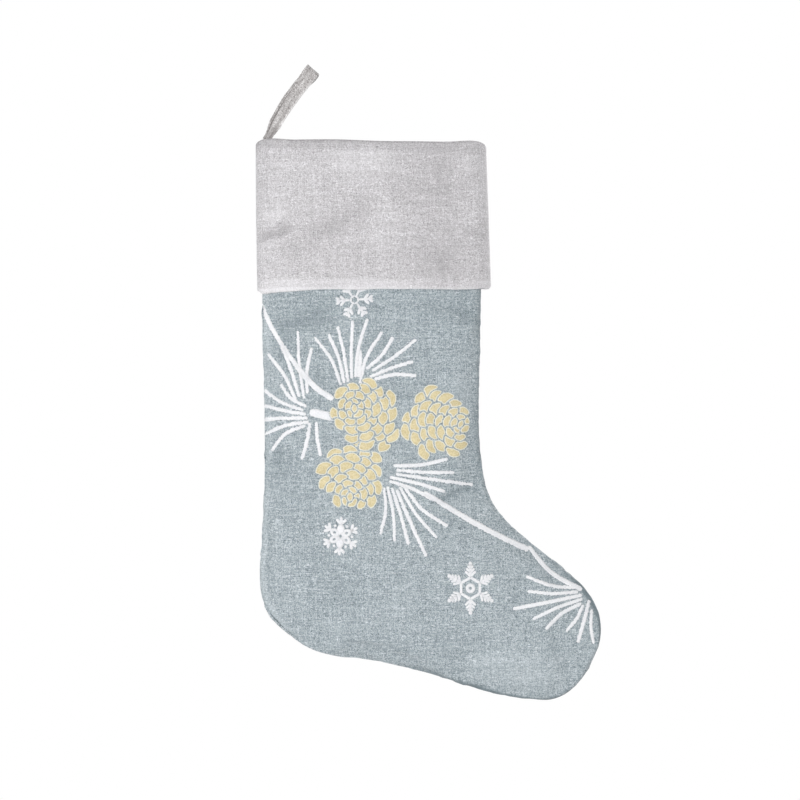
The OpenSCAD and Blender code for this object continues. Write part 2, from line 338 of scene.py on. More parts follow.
def linen(name, tones, fleck, contrast, fleck_share=0.002, roughness=0.6, dashes=0.0):
    """A plain weave whose every crossing shows a warp or a weft thread of its own tone.

    tones are the dark, the middle and the light one. Flecks are short runs of
    metallic weft, and dashes are the share of pale thread ends.
    """
    n = Nodes(name)
    dark, _, light = tones
    still = n.flat_place()
    # The threads run a little unevenly.
    wander = n.add("TexNoise")
    n.feed(still, wander.inputs["Vector"])
    wander.inputs["Scale"].default_value = 0.09
    wander.inputs["Detail"].default_value = 1.0
    place = n.vector("ADD", still, n.vector("MULTIPLY", wander.outputs["Color"], (WANDER, WANDER, WANDER)))

    def thread(across, down, seed):
        return n.cell(place, PITCH * across, PITCH * down, seed)

    crossing = n.add("Mix", data_type="FLOAT")
    n.feed(n.math("GREATER_THAN", thread(0.98, 1.03, 5), 0.5), crossing.inputs[0])
    n.feed(thread(1, 3.5, 1), crossing.inputs[2])
    n.feed(thread(4, 1, 2), crossing.inputs[3])
    shade = 0.5
    for part, share in (
            (crossing.outputs[0], 0.45), (thread(1, 1, 3), 0.55),
            (n.cell(place, PITCH, 24, 6), 0.16), (n.cell(place, 21, PITCH, 7), 0.18),
            (n.noise(place, (18, 1.6, 5)), 0.03), (n.noise(place, (1.6, 22, 5)), 0.02),
            (n.noise(place, (60, 75, 50)), 0.02)):
        shade = n.math("ADD", shade, n.math("MULTIPLY", n.math("SUBTRACT", part, 0.5), share * contrast))
    # Pinholes between the threads.
    hole = n.math("GREATER_THAN", n.cell(place, 0.95, 0.85, 9), 0.95)
    shade = n.math("SUBTRACT", shade, n.math("MULTIPLY", hole, PINHOLE * contrast))
    if dashes:
        dash = n.math("GREATER_THAN", n.cell(place, 5.0, 0.8, 8), 1 - dashes)
        bands = n.ramp(n.noise(place, (45, 30, 40), 1), 0.46, 0.6)
        shade = n.math("ADD", shade, n.math("MULTIPLY", n.math("MULTIPLY", dash, bands), DASH))
    ramp = n.add("ValToRGB")
    n.feed(shade, ramp.inputs[0])
    steps = ramp.color_ramp.elements
    for step, at, colour in zip((steps[0], steps.new(0.5), steps[-1]), (0.0, 0.5, 1.0), tones):
        step.position = at
        step.color = (*colour, 1)
    # Painted highlight and painted shade: the mesh's painted light takes the cloth towards its light or its
    # dark tone.
    wear = n.add("Attribute", attribute_name="wear").outputs["Fac"]
    worn_and_painted_light = n.mix(n.math("MULTIPLY", wear, PAINTED_HIGHLIGHT), ramp.outputs[0], light)
    worn_and_painted_light = n.mix(n.math("MULTIPLY", wear, -PAINTED_SHADE), worn_and_painted_light, dark)
    silver = n.math("GREATER_THAN", thread(4.2, 1, 4), 1 - fleck_share)
    rows_and_lines = n.add("SeparateXYZ")
    n.feed(place, rows_and_lines.inputs[0])
    waves = [n.math("SINE", n.math("MULTIPLY", out, math.pi / PITCH)) for out in rows_and_lines.outputs[:2]]
    round_threads = n.math("ABSOLUTE", n.math("MULTIPLY", *waves))
    height = n.math("ADD", n.math("MULTIPLY", shade, 0.8), n.math("MULTIPLY", round_threads, 0.25))
    n.put(Base_Color=n.mix(n.math("MULTIPLY", silver, 0.6), worn_and_painted_light, fleck),
          Metallic=n.math("MULTIPLY", silver, 0.4),
          Roughness=n.math("SUBTRACT", roughness, n.math("MULTIPLY", silver, 0.3)),
          Normal=n.bump(height, 0.5, 0.0003), Sheen_Weight=0.15, Sheen_Roughness=0.45)
    return n.material


def plain_cloth(name, base, dark, pitch=0.6):
    """A finer, plainer cloth for the lining."""
    n = Nodes(name)
    place = n.flat_place()
    thread = n.math("ADD", n.cell(place, pitch, pitch * 3, 1), n.cell(place, pitch * 3, pitch, 2))
    grain = n.noise(place, (2.2, 2.6, 5), 3)
    tone = n.math("ADD", n.math("MULTIPLY", thread, 0.3), n.math("MULTIPLY", grain, 0.4))
    n.put(Base_Color=n.mix(n.ramp(tone, 0.25, 0.75), dark, base), Roughness=0.85, Sheen_Weight=0.1,
          Normal=n.bump(thread, 0.3, 0.0002))
    return n.material


def sewing_thread(name, base, dark):
    """Twisted thread: slanting plies and a little fuzz."""
    n = Nodes(name)
    place = n.solid_place()
    split = n.add("SeparateXYZ")
    n.feed(place, split.inputs[0])
    run = n.math("ADD", split.outputs[0], n.math("ADD", split.outputs[1], split.outputs[2]))
    ply = n.math("SINE", n.math("MULTIPLY", run, 2 * math.pi / 0.6))
    tone = n.math("ADD", n.math("MULTIPLY", ply, 0.25), n.noise(place, (0.4, 0.4, 0.4), 3))
    n.put(Base_Color=n.mix(n.ramp(tone, 0.2, 0.9), dark, base), Roughness=0.6, Sheen_Weight=0.2,
          Normal=n.bump(tone, 0.5, 0.0001))
    return n.material


def ink(name, base, worn_and_painted_light, bare):
    """Screen-print ink: the weave shows through it, and a few threads stay bare."""
    n = Nodes(name)
    place = n.solid_place()
    cloud = n.noise(place, (9, 9, 9))
    grain = n.noise(place, (1.1, 5, 0.9), 2, 0.6)
    gaps = n.ramp(n.noise(place, (1.3, 5, 0.8), 1), 0.69, 0.76)
    cover = n.math("ADD", n.math("MULTIPLY", grain, 0.7), n.math("MULTIPLY", cloud, 0.3))
    colour = n.mix(n.ramp(cover, 0.36, 0.6), worn_and_painted_light, base)
    n.put(Base_Color=n.mix(n.math("MULTIPLY", gaps, 0.6), colour, bare), Roughness=0.7,
          Normal=n.bump(grain, 0.45, 0.00025))
    return n.material


body_cloth = linen("body_cloth", ((0.105, 0.142, 0.160), (0.302, 0.350, 0.376), (0.66, 0.705, 0.735)),
                   (0.80, 0.82, 0.84), 0.92, fleck_share=0.004, roughness=0.7, dashes=0.032)
cuff_cloth = linen("cuff_cloth", ((0.245, 0.235, 0.243), (0.475, 0.462, 0.478), (0.80, 0.79, 0.81)),
                   (0.88, 0.87, 0.88), 0.85)
strap_cloth = linen("strap_cloth", ((0.18, 0.165, 0.16), (0.465, 0.446, 0.442), (0.79, 0.775, 0.77)),
                    (0.88, 0.87, 0.87), 1.0)
lining_cloth = plain_cloth("lining_cloth", (0.60, 0.61, 0.60), (0.46, 0.47, 0.46))
cuff_thread = sewing_thread("cuff_thread", (0.50, 0.48, 0.49), (0.30, 0.29, 0.30))
body_thread = sewing_thread("body_thread", (0.26, 0.31, 0.34), (0.14, 0.18, 0.20))
lining_thread = sewing_thread("lining_thread", (0.62, 0.63, 0.62), (0.42, 0.43, 0.42))
white_ink = ink("white_ink", (0.79, 0.79, 0.805), (0.66, 0.67, 0.70), (0.42, 0.47, 0.50))
gold_ink = ink("gold_ink", (0.69, 0.605, 0.375), (0.50, 0.415, 0.225), (0.50, 0.50, 0.42))
pale_ink = ink("pale_ink", (0.80, 0.78, 0.67), (0.68, 0.66, 0.55), (0.46, 0.49, 0.49))


# ---------------------------------------------------------------- the body
# Folds pressed into the cloth: two ends, depth and half-width, in millimetres from the mouth's corner. Depth
# below 0 stands out.
BODY_FOLDS = [
    ((158, -326), (194, -311), 2.6, 2.4),
    ((150, -336), (190, -322), -0.9, 4.0),
    ((10, -190), (8, -410), 0.9, 2.2),
    ((2, -200), (1, -410), -0.6, 3.0),
    ((14, -171), (68, -154), 2.4, 8),
    ((158, -142), (192, -163), 2.1, 6.5),
    ((10, -285), (32, -298), 1.5, 9),
    ((188, -470), (272, -482), -1.6, 11),
    ((150, -440), (182, -468), 1.0, 8),
    ((60, -440), (140, -410), -0.7, 12),
    ((176, -210), (182, -250), -1.0, 7),
    ((40, -330), (74, -424), 0.6, 12),
]
# How much paler a ridge is painted, as a painted highlight, and a hollow darker, as painted shade, for each
# millimetre.
RELIEF_PAINTED_LIGHT = 0.19
# How far under the mouth the body's cloth starts, inside the cuff's fold.
BODY_TOP = 5.6 * MM


def folds_at(x, z, folds):
    """How far the cloth is pressed in at each place by a list of folds."""
    total = np.zeros_like(x)
    for (x0, z0), (x1, z1), depth, half in folds:
        a = np.array([x0, z0]) * MM + CORNER
        b = np.array([x1, z1]) * MM + CORNER
        run = b - a
        length = np.linalg.norm(run)
        run = run / length
        f = ((x - a[0]) * run[0] + (z - a[1]) * run[1]) / length
        off = (x - a[0]) * run[1] - (z - a[1]) * run[0]
        ends = smooth_step((f + 0.15) / 0.4) * smooth_step((1.15 - f) / 0.4)
        total += depth * MM * ends * np.exp(-0.5 * (off / (half * MM)) ** 2)
    return total


def even_rows(count, last):
    """Values of t whose rungs are evenly spaced along the body."""
    t = np.linspace(0, last, 1200)
    run = run_along((edge(HEEL_EDGE, t, 0, 1) + edge(TOE_EDGE, t, 0, -1)) / 2)
    return np.interp(np.linspace(0, run[-1], count), run, t)


def body_grid(rows, cols, level, side):
    """A smooth grid over one side of the body, and its t and s."""
    last = STRETCHES - level / TOE_PACE
    s = gather(cols)[None, :].repeat(rows, 0)
    t = even_rows(rows, last)[:, None].repeat(cols, 1)
    first = (BODY_TOP + mouth_drop(s)) / MOUTH_PACE
    t = first + t * (last - first) / last
    a = edge(HEEL_EDGE, t, level, 1)
    b = edge(TOE_EDGE, t, level, -1)
    flat = a * (1 - s[..., None]) + b * s[..., None]
    fall = toe_fall(np.minimum(t / last, 1) * STRETCHES)
    y = side * (HALF_DEPTH - level) * bulge(s) * fall
    return np.stack([flat[..., 0], y, flat[..., 1]], axis=-1), t, s


CLOTH_SETTINGS = dict(
    quality=6, mass=0.2, vertex_group_mass="pins", tension_stiffness=25, compression_stiffness=25,
    shear_stiffness=8, bending_stiffness=0.6, tension_damping=12, compression_damping=12,
    shear_damping=12, bending_damping=1.0, air_damping=4, shrink_min=-0.016, use_pressure=True,
    uniform_pressure_force=0.35)
SIM_FRAMES = 25
SIM_ROWS, SIM_COLS = 130, 56
# The waves' height levels off at about this.
SIM_CAP = 2.6 * MM


def simulate(grid, side):
    """Eases a pinned sheet outwards as cloth a little too large for its outline."""
    rows, cols = grid.shape[:2]
    sheet = new_mesh("sim_sheet", grid.reshape(-1, 3), grid_faces(rows, cols, flip=side < 0), body_cloth)
    pins = sheet.vertex_groups.new(name="pins")
    index = np.arange(rows * cols).reshape(rows, cols)
    rim = np.concatenate([index[:2].ravel(), index[-1], index[:, 0], index[:, -1]])
    pins.add([int(i) for i in rim], 1.0, "REPLACE")
    cloth = sheet.modifiers.new("cloth", "CLOTH")
    for key, value in CLOTH_SETTINGS.items():
        setattr(cloth.settings, key, value)
    cloth.settings.effector_weights.gravity = 0
    cloth.collision_settings.use_collision = False
    cloth.collision_settings.use_self_collision = False
    scene = bpy.context.scene
    for f in range(1, SIM_FRAMES + 1):
        scene.frame_set(f)
    deps = bpy.context.evaluated_depsgraph_get()
    done = sheet.evaluated_get(deps).to_mesh()
    moved = np.zeros(rows * cols * 3)
    done.vertices.foreach_get("co", moved)
    bpy.data.objects.remove(sheet)
    scene.frame_set(1)
    return moved.reshape(rows, cols, 3) - grid


def resample(field, t_from, s_from, t_to, s_to):
    """A field on a coarse grid, read off at a finer one's rows and columns."""
    wide = np.stack([np.interp(s_to, s_from, row) for row in field])
    return np.stack([np.interp(t_to, t_from, col) for col in wide.T], axis=1)


def settled(side):
    """The cloth's own small waves on one side, as a coarse grid of shifts."""
    grid, t, s = body_grid(SIM_ROWS, SIM_COLS, 0, side)
    wave = noise_at(grid, 45 * MM, 3 + side) * 0.5 * MM
    start = grid.copy()
    start[..., 1] += side * wave * bulge(s)
    shift = simulate(start, side) + (start - grid)
    size = np.linalg.norm(shift, axis=-1, keepdims=True)
    shift *= np.tanh(size / SIM_CAP) * SIM_CAP / np.maximum(size, 1e-9)
    return shift, t[:, SIM_COLS // 2], s[0]


def flat_layout(grid):
    """Flat cloth coordinates: across gets the length that the bulge adds."""
    flat = grid[..., [0, 2]]
    arc, plan = run_along(grid, 1), run_along(flat, 1)
    mid = grid.shape[1] // 2
    extra = (arc - arc[:, mid:mid + 1]) - (plan - plan[:, mid:mid + 1])
    rung = flat[:, -1] - flat[:, 0]
    rung /= np.linalg.norm(rung, axis=-1, keepdims=True)
    return flat + extra[..., None] * rung[:, None, :]


BODY_ROWS, BODY_COLS = 250, 116
BODY_CLOTH = 1.2 * MM
SEAM_DIP = 0.4 * MM
CUFF_ROOM = 2.2 * MM


def dressed_body(side):
    """One side of the body with its folds, waves and puckered seam."""
    grid, t, s = body_grid(BODY_ROWS, BODY_COLS, 0, side)
    flat = flat_layout(grid)
    x, z = grid[..., 0].copy(), grid[..., 2].copy()
    # 0 under the cuff and 1 below it.
    in_sight = smooth_step((CORNER[1] - z - 1.01 * CUFF_H) / (0.16 * CUFF_H))
    # Under the cuff it lies in a little, out of the way of the cuff's own folds.
    grid[..., 1] -= side * CUFF_ROOM * bulge(s) * smooth_step(t / 0.15) * (1 - in_sight)
    shift, t_from, s_from = settled(side)
    fine = np.stack([resample(shift[..., k], t_from, s_from, t[:, BODY_COLS // 2], s[0])
                     for k in range(3)], axis=-1)
    held = np.where(side * fine[..., 1] > 0, 0.35 + 0.65 * in_sight, 1)
    grid += fine * np.stack([in_sight, held, in_sight], axis=-1)
    away = np.minimum(s, 1 - s) * np.linalg.norm(grid[:, -1] - grid[:, 0], axis=-1)[:, None]
    inner = smooth_step(away / (10 * MM))
    folds = folds_at(x, z, BODY_FOLDS) if side < 0 else folds_at(x + 20 * MM, z - 15 * MM, BODY_FOLDS[4:])
    folds *= (0.35 + 0.65 * inner) * in_sight
    grid[..., 1] -= side * folds
    wave = noise_at(grid * [1, 0, 1], 38 * MM, 11 + side) * 0.85 * MM
    fine_wave = noise_at(grid * [1, 0, 1], 11 * MM, 17 + side) * 0.1 * MM
    grid[..., 1] += side * (wave + fine_wave) * inner * in_sight
    # Painted highlight on the ridges and along the calf's edge, painted shade in the hollows and along the
    # edge of the leg's front and of the sole.
    wear = RELIEF_PAINTED_LIGHT * (0.25 * (wave + fine_wave) - folds) / MM
    wear += 0.35 * hump(away - 4 * MM, 3 * MM) * (s < 0.5) * smooth_step((3.4 - t) / 0.8)
    wear -= 0.4 * hump(away, 3.5 * MM) * (s > 0.5) * smooth_step((2.2 - t) / 0.4)
    wear -= 1.0 * np.exp(-(away / (3.8 * MM)) ** 4) * smooth_step((t - 3.8) / 0.8)
    # The seam: both sheets turn in where they meet, and pucker along it.
    pucker = 1 + 0.55 * noise_at(grid * [1, 0, 1], 6 * MM, 23)
    dip = SEAM_DIP * pucker * hump(grid[..., 1], 1.3 * MM)
    for chain, turn, near in ((HEEL_EDGE, 1, 1 - s), (TOE_EDGE, -1, s)):
        inward = edge(chain, t, 1.0, turn) - edge(chain, t, 0.0, turn)
        grid[..., 0] += inward[..., 0] * dip * (near > 0.5)
        grid[..., 2] += inward[..., 1] * dip * (near > 0.5)
    crimp = noise_at(grid * [1, 0, 1], 8 * MM, 29) * 0.35 * MM
    grid[..., 1] += side * crimp * hump(away - 4 * MM, 3.5 * MM)
    grid[:, 0, 1] = grid[:, -1, 1] = grid[-1, :, 1] = 0
    return grid, flat, wear


def cloth_piece(name, grid, flat, material, thickness, flip, wear=None):
    """A sheet of cloth whose outer face is the grid."""
    rows, cols = grid.shape[:2]
    obj = new_mesh(name, grid.reshape(-1, 3), grid_faces(rows, cols, flip=flip), material, flat, wear)
    thicken(obj, thickness)
    return obj


front_grid, front_flat, front_painted_light = dressed_body(-1)
back_grid, back_flat, back_painted_light = dressed_body(1)
front_panel = cloth_piece("printed_front_cloth", front_grid, front_flat, body_cloth, BODY_CLOTH, True,
                          front_painted_light)
back_panel = cloth_piece("back_cloth", back_grid, back_flat, body_cloth, BODY_CLOTH, False, back_painted_light)


LINING_CLOTH = 0.45 * MM
# How far in the lining's edge lies, and how far under the outer cloth it hangs.
LINING_IN, LINING_UNDER = 2.1 * MM, 2.3 * MM


def lining_piece(name, grid, flat, side, flip):
    """The lining hangs just inside the outer cloth and follows it."""
    rows = slice(0, BODY_ROWS, 3)
    cols = slice(0, BODY_COLS, 3)
    inner = grid[rows, cols].copy()
    base = body_grid(BODY_ROWS, BODY_COLS, LINING_IN, side)[0][rows, cols]
    inner[..., [0, 2]] = base[..., [0, 2]]
    inner[..., 1] = np.minimum(np.abs(inner[..., 1]) - LINING_UNDER, np.abs(base[..., 1]))
    inner[..., 1] = side * np.maximum(inner[..., 1], 0)
    crease = noise_at(inner * [1, 0, 1], 16 * MM, 41 + side) * 0.5 * MM
    deep = smooth_step(np.abs(inner[..., 1]) / (6 * MM))
    inner[..., 1] -= side * np.abs(crease) * deep
    return cloth_piece(name, inner, flat[rows, cols], lining_cloth, LINING_CLOTH, flip)


front_lining = lining_piece("front_lining_cloth", front_grid, front_flat, -1, True)
back_lining = lining_piece("back_lining_cloth", back_grid, back_flat, 1, False)


# ---------------------------------------------------------------- the cuff
CUFF_CLOTH = 0.85 * MM
CUFF_COLS = 150
# How far inside the outer face the turned-in top lies, how far down it reaches,
# the radii of its inner and outer corners, and how far inside the facing lies.
LIMB_IN = 7.6 * MM
TURN_IN = 11 * MM
TOP_CURVE, SHOULDER = 2.0 * MM, 2.2 * MM
FACING_IN = 2.35 * MM
# The cuff's ends at its top, how far each shifts at its hem, and its depths.
CUFF_OUT_HEEL = 3.2 * MM
CUFF_OUT_TOE = 204.2 * MM
HEEL_TAPER = 1.4 * MM
CUFF_FLARE = 4.6 * MM
CUFF_TOP_DEPTH = 18.2 * MM
CUFF_SWELL = 1.3 * MM
HEM_TUCK = 1.6 * MM
# Folds in the front of the cuff, as for the body.
CUFF_FOLDS = [
    ((-4, -89), (31, -79), 3.4, 3.0),
    ((10, -62), (22, -73), -1.9, 7),
    ((2, -98), (44, -86), -0.6, 3.5),
    ((16, -101), (72, -77), 1.6, 7),
    ((62, -82), (108, -56), 1.5, 7),
    ((126, -62), (104, -104), -1.1, 9),
    ((62, -22), (120, -14), -1.7, 11),
    ((20, -24), (60, -34), -0.8, 10),
    ((164, 6), (166, -136), 1.2, 12),
    ((118, -50), (150, -36), 0.9, 9),
    ((140, -122), (176, -106), 0.45, 10),
    ((184, -8), (190, -34), -1.2, 6),
    ((184, -82), (206, -86), 1.6, 2.2),
    ((184, -60), (200, -74), -0.8, 5),
    ((192, -6), (204, -14), 0.7, 3.5),
    ((2, -30), (1, -44), 0.9, 3.5),
]
# How deep the hem hangs, from the heel side to the toe side.
HEM_LINE = [
    (0, 136.6), (0.02, 139.6), (0.03, 139.6), (0.06, 138.7), (0.09, 138.2), (0.16, 137.5),
    (0.24, 136.1), (0.3, 135.6), (0.43, 136.3), (0.52, 135.4), (0.7, 135.5), (0.85, 136),
    (0.94, 135.3), (0.97, 134.3), (0.985, 134.9), (0.993, 134.6), (1, 132.8)]
# How far the side seams lie in from the cuff's ends, on its front.
CUFF_SEAMS = (4.6 * MM, 7.2 * MM)


def cuff_path():
    """The cuff's outer face from inside the mouth, over its fold, round the hem and up inside.

    Each place is its depth under the fold, how far inside the outer face it
    lies, and the share of the hem's depth to add.
    """
    path = [(z, LIMB_IN, 0.0) for z in np.linspace(TURN_IN, TOP_CURVE, 6)]
    for k in range(1, 7):
        a = math.pi / 2 * k / 6
        path.append((TOP_CURVE - TOP_CURVE * math.sin(a), LIMB_IN - TOP_CURVE * (1 - math.cos(a)), 0.0))
    for f in np.linspace(0.12, 0.9, 5):
        path.append((0.0, LIMB_IN - TOP_CURVE - (LIMB_IN - 2 * SHOULDER) * f, 0.0))
    for k in range(1, 8):
        a = math.pi / 2 * k / 7
        path.append((SHOULDER - SHOULDER * math.cos(a), SHOULDER - SHOULDER * math.sin(a), 0.0))
    path += [(0.0, 0.0, v) for v in np.linspace(0.03, 0.985, 88)]
    for k in range(1, 8):
        a = math.pi * k / 7
        r = FACING_IN / 2
        path.append((r * (math.sin(a) - 1), r * (1 - math.cos(a)), 1.0))
    return path + [(0.0, FACING_IN, v) for v in np.linspace(0.97, 0.1, 16)]


def cuff_points(z, level, s, side):
    """Places on the cuff, z under its fold and level inside its outer face."""
    v = z / CUFF_H
    a = -CUFF_OUT_HEEL + HEEL_TAPER * v * v + level
    b = CUFF_OUT_TOE + CUFF_FLARE * v - level
    depth = CUFF_TOP_DEPTH + CUFF_SWELL * np.sin(np.pi * np.clip(v, 0, 1)) - HEM_TUCK * v * v - level
    x = CORNER[0] + a + (b - a) * s
    drop = mouth_drop(s) * (1 - v)
    return np.stack([x, side * depth * bulge(s), CORNER[1] - z - drop], axis=-1)


# A fold may only stand out or press in as far as the layers under it allow.
CUFF_STAND, CUFF_PRESS = -2.4 * MM, 2.6 * MM


def cuff_relief(grid, s, side, z):
    """How far each place is pressed in by folds, how far out by waves, and how far from a side."""
    x, up = grid[..., 0], grid[..., 2]
    inner = smooth_step(np.minimum(s, 1 - s) / 0.03)[None, :]
    folds = np.where(side < 0, folds_at(x, up, CUFF_FOLDS), folds_at(x - 12 * MM, up, CUFF_FOLDS[3:]))
    waves = noise_at(grid * [1, 0.4, 1], 42 * MM, 51) * 0.8 * MM
    fine = noise_at(grid * [1, 0.4, 1], 12 * MM, 53) * 0.11 * MM
    # The top rolls back.
    roll = 1.3 * MM * (1 - smooth_step(z / (12 * MM)))
    return folds * (0.4 + 0.6 * inner), waves - roll + fine, inner


def shape_cuff_edges(grid, s, v, face_last):
    """The hem runs a little unevenly, and the fold at the top sags past its middle."""
    plan = grid[face_last] * [1, 0.3, 0]
    hem = noise_at(plan, 30 * MM, 57) * 0.25 * MM
    grid[..., 2] += hem[None, :] * smooth_step((v - 0.55) / 0.45)
    top = noise_at(plan, 70 * MM, 59) * 0.3 * MM
    top = top - 1.9 * MM * smooth_step((s - 0.3) / 0.3) * (1 - 0.4 * smooth_step((s - 0.8) / 0.15))
    top = top - 1.6 * MM * smooth_step((s - 0.05) / 0.12) * (1 - 0.5 * smooth_step((s - 0.84) / 0.1))
    grid[..., 2] += top[None, :] * (1 - smooth_step(v / 0.3))


def press_side_seams(grid, side, shown):
    """Two lines down the front, where it turns to the back."""
    x = grid[..., 0]
    heel = x.min(axis=1)[:, None]
    width = x.max(axis=1)[:, None] - heel
    for place, deep in ((CUFF_SEAMS[0], 0.4), (width - CUFF_SEAMS[1], 0.22)):
        line = hump(x - heel - place, 0.75 * MM)
        ridge = hump(x - heel - place - 2.2 * MM, 1.6 * MM)
        grid[..., 1] -= side * deep * (line - 0.4 * ridge) * MM * (side < 0) * shown


def cuff_painted_light_at(s, side, v, z, level, outside, past_face):
    """Painted highlight on the edges: the hem's fold most, its turned-up band and the sides a little."""
    wear = hump(past_face - 3, 3.0) + 0.8 * hump(v - 1, 0.012) * outside
    hem_painted_highlight = smooth_step((v - 0.915) / 0.03) * outside
    wear += 0.55 * hem_painted_highlight * (1 - 0.45 * smooth_step((s - 0.5) / 0.3)) * (0.45 + 0.55 * smooth_step(s / 0.12))
    wear += 0.4 * hump(1 - s, 0.022) + 0.3 * hump(np.minimum(s, 1 - s), 0.006)
    # Painted shade darkens the top edge, and a painted highlight makes the front a little paler on the heel
    # side; a little painted shade lies towards the toe side.
    wear -= 0.52 * (1 - smooth_step((z - 5 * MM) / (7 * MM))) * (1 - 0.5 * s) * (level < 4.5 * MM)
    wear += (0.1 * (1 - smooth_step(s / 0.3)) - 0.06 * hump(s - 0.75, 0.15)) * (side < 0)
    return wear


def cuff_grid():
    """The whole cuff as rows along its path and a ring of columns, with its flat place and its painted light
    and shade.
    """
    s_front = gather(CUFF_COLS)
    s = np.concatenate([s_front, s_front[::-1][1:-1]])
    side = np.concatenate([-np.ones(CUFF_COLS), np.ones(CUFF_COLS - 2)])
    path = np.array(cuff_path())
    hem = np.interp(s, *zip(*HEM_LINE)) * MM
    z = path[:, :1] + path[:, 2:] * hem[None, :]
    level = path[:, 1:2] + 0 * z
    grid = cuff_points(z, level, s[None, :] + 0 * z, side[None, :])
    v = z / CUFF_H
    outside = (path[:, 2] > 0) & (path[:, 1] < 0.5 * FACING_IN)
    shown = smooth_step(v / 0.05) * outside[:, None]
    folds, waves, inner = cuff_relief(grid, s, side, z)
    give = np.clip(folds, CUFF_STAND, CUFF_PRESS) - waves * inner
    grid[..., 1] -= side * give * shown
    # The rows round the hem and up inside follow the face over them.
    rows = np.nonzero(outside)[0]
    face_last = int(rows[-1])
    for i in range(face_last + 1, len(path)):
        over = int(rows[np.argmin(np.abs(path[rows, 2] - path[i, 2]))])
        grid[i, :, 1] -= side * give[over] * shown[over]
    shape_cuff_edges(grid, s, v, face_last)
    press_side_seams(grid, side, shown)
    mid = CUFF_COLS // 2
    around = run_along(grid, 1)
    down = run_along(grid[:, mid])[:, None] + 0 * around
    past_face = np.arange(len(path))[:, None] - face_last
    wear = cuff_painted_light_at(s, side, v, z, level, outside[:, None], past_face)
    # Painted shade and painted highlight that follow the folds and waves.
    wear = wear - RELIEF_PAINTED_LIGHT * (folds + 0.5 * waves) / MM * shown
    return grid, np.stack([around - around[:, mid:mid + 1], -down], axis=-1), wear


cuff_shape, cuff_flat, cuff_painted_light = cuff_grid()
cuff = new_mesh("folded_cuff", cuff_shape.reshape(-1, 3),
                grid_faces(*cuff_shape.shape[:2], ring=True, flip=True), cuff_cloth, cuff_flat, cuff_painted_light)
thicken(cuff, CUFF_CLOTH)


# ---------------------------------------------------------------- stitches
def stitch(a, b, radius, lift):
    """One thread stitch from a to b, bowed towards lift."""
    a, b, lift = (np.array(v, float) for v in (a, b, lift))
    run = b - a
    length = np.linalg.norm(run)
    run /= length
    lift -= run * np.dot(lift, run)
    lift /= np.linalg.norm(lift)
    side = np.cross(run, lift)
    steps, sides = 6, 6
    pts = []
    for i in range(steps + 1):
        f = i / steps
        r = radius * (0.35 + 0.65 * math.sin(math.pi * (0.1 + 0.8 * f)))
        centre = a + run * length * f + lift * radius * 1.1 * (math.sin(math.pi * f) - 0.6)
        for k in range(sides):
            w = 2 * math.pi * k / sides
            pts.append(centre + r * (side * math.cos(w) + lift * math.sin(w)))
    faces = grid_faces(steps + 1, sides, ring=True)
    faces.append(tuple(range(sides))[::-1])
    faces.append(tuple(steps * sides + k for k in range(sides)))
    return pts, faces


def stitched(name, parts, material=cuff_thread):
    """One piece of a list of stitches."""
    return new_mesh(name, *join_parts(parts), material)


def stitch_row(name, path, normals, pitch, length, radius, material=cuff_thread):
    """Stitches of one length every pitch along a path of points, in millimetres."""
    pitch, length, radius = pitch * MM, length * MM, radius * MM
    run = run_along(path)
    parts = []
    for start in np.arange(pitch / 2, run[-1] - length, pitch):
        a, b, lift = ([np.interp(at, run, values[:, k]) for k in range(3)]
                      for at, values in ((start, path), (start + length, path), (start, normals)))
        parts.append(stitch(a, b, radius, lift))
    return stitched(name, parts, material)


def ring_path(z, level, count=260):
    """A path round the cuff at depth z, and the directions into the mouth."""
    s = gather(count)
    s = np.concatenate([s, s[::-1][1:]])
    side = np.concatenate([-np.ones(count), np.ones(count - 1)])
    pts = cuff_points(z + 0 * s, level + 0 * s, s, side)
    inward = pts.mean(axis=0) - pts
    inward[:, 2] = 0
    inward /= np.linalg.norm(inward, axis=1, keepdims=True)
    return pts, inward


mouth_stitches = stitch_row("mouth_seam_stitches", *ring_path(8.2 * MM, LIMB_IN + 0.05 * MM), 3.4, 2.6, 0.26)
hem_stitches = stitch_row("hem_seam_stitches", *ring_path(CUFF_H - 6.0 * MM, FACING_IN + 0.05 * MM),
                          6.0, 2.0, 0.2)


def outline_path(level):
    """Round the body's seam from the heel-side mouth to the other, just inside it."""
    t = np.linspace(0.05, STRETCHES - level / TOE_PACE, 500)
    flat = np.concatenate([edge(HEEL_EDGE, t, level, 1), edge(TOE_EDGE, t, level, -1)[::-1]])
    pts = np.stack([flat[:, 0], 0 * flat[:, 0], flat[:, 1]], axis=-1)
    return pts, np.tile([0.0, -1.0, 0.0], (len(pts), 1))


body_stitches = stitch_row("body_seam_stitches", *outline_path(1.5 * MM), 3.2, 2.5, 0.22, body_thread)
lining_stitches = stitch_row("lining_seam_stitches", *outline_path(3.0 * MM), 4.0, 3.0, 0.18, lining_thread)


def side_seam(s):
    """Stitches down the inside of the cuff's front at one of its ends, s."""
    z = np.linspace(6 * MM, CUFF_H - 8 * MM, 60)
    pts = cuff_points(z, 1.2 * MM + 0 * z, s + 0 * z, -1.0)
    return [stitch(pts[i], pts[i] + (pts[i + 1] - pts[i]) * 0.9, 0.2 * MM, (0, -1, 0))
            for i in range(0, len(pts) - 1, 2)]


cuff_stitches = stitched("cuff_side_seam_stitches", side_seam(0.0) + side_seam(1.0))


# ---------------------------------------------------------------- the loop
STRAP_CLOTH = 1.15 * MM
# From the hook's axis to the middle of the strap's cloth.
HOOK_GAP = 3.0 * MM + STRAP_CLOTH / 2
# Half the distance between the strands at the tack, and how far past it they run.
TACK_GAP, PAST_TACK = 1.25 * MM, 4.5 * MM


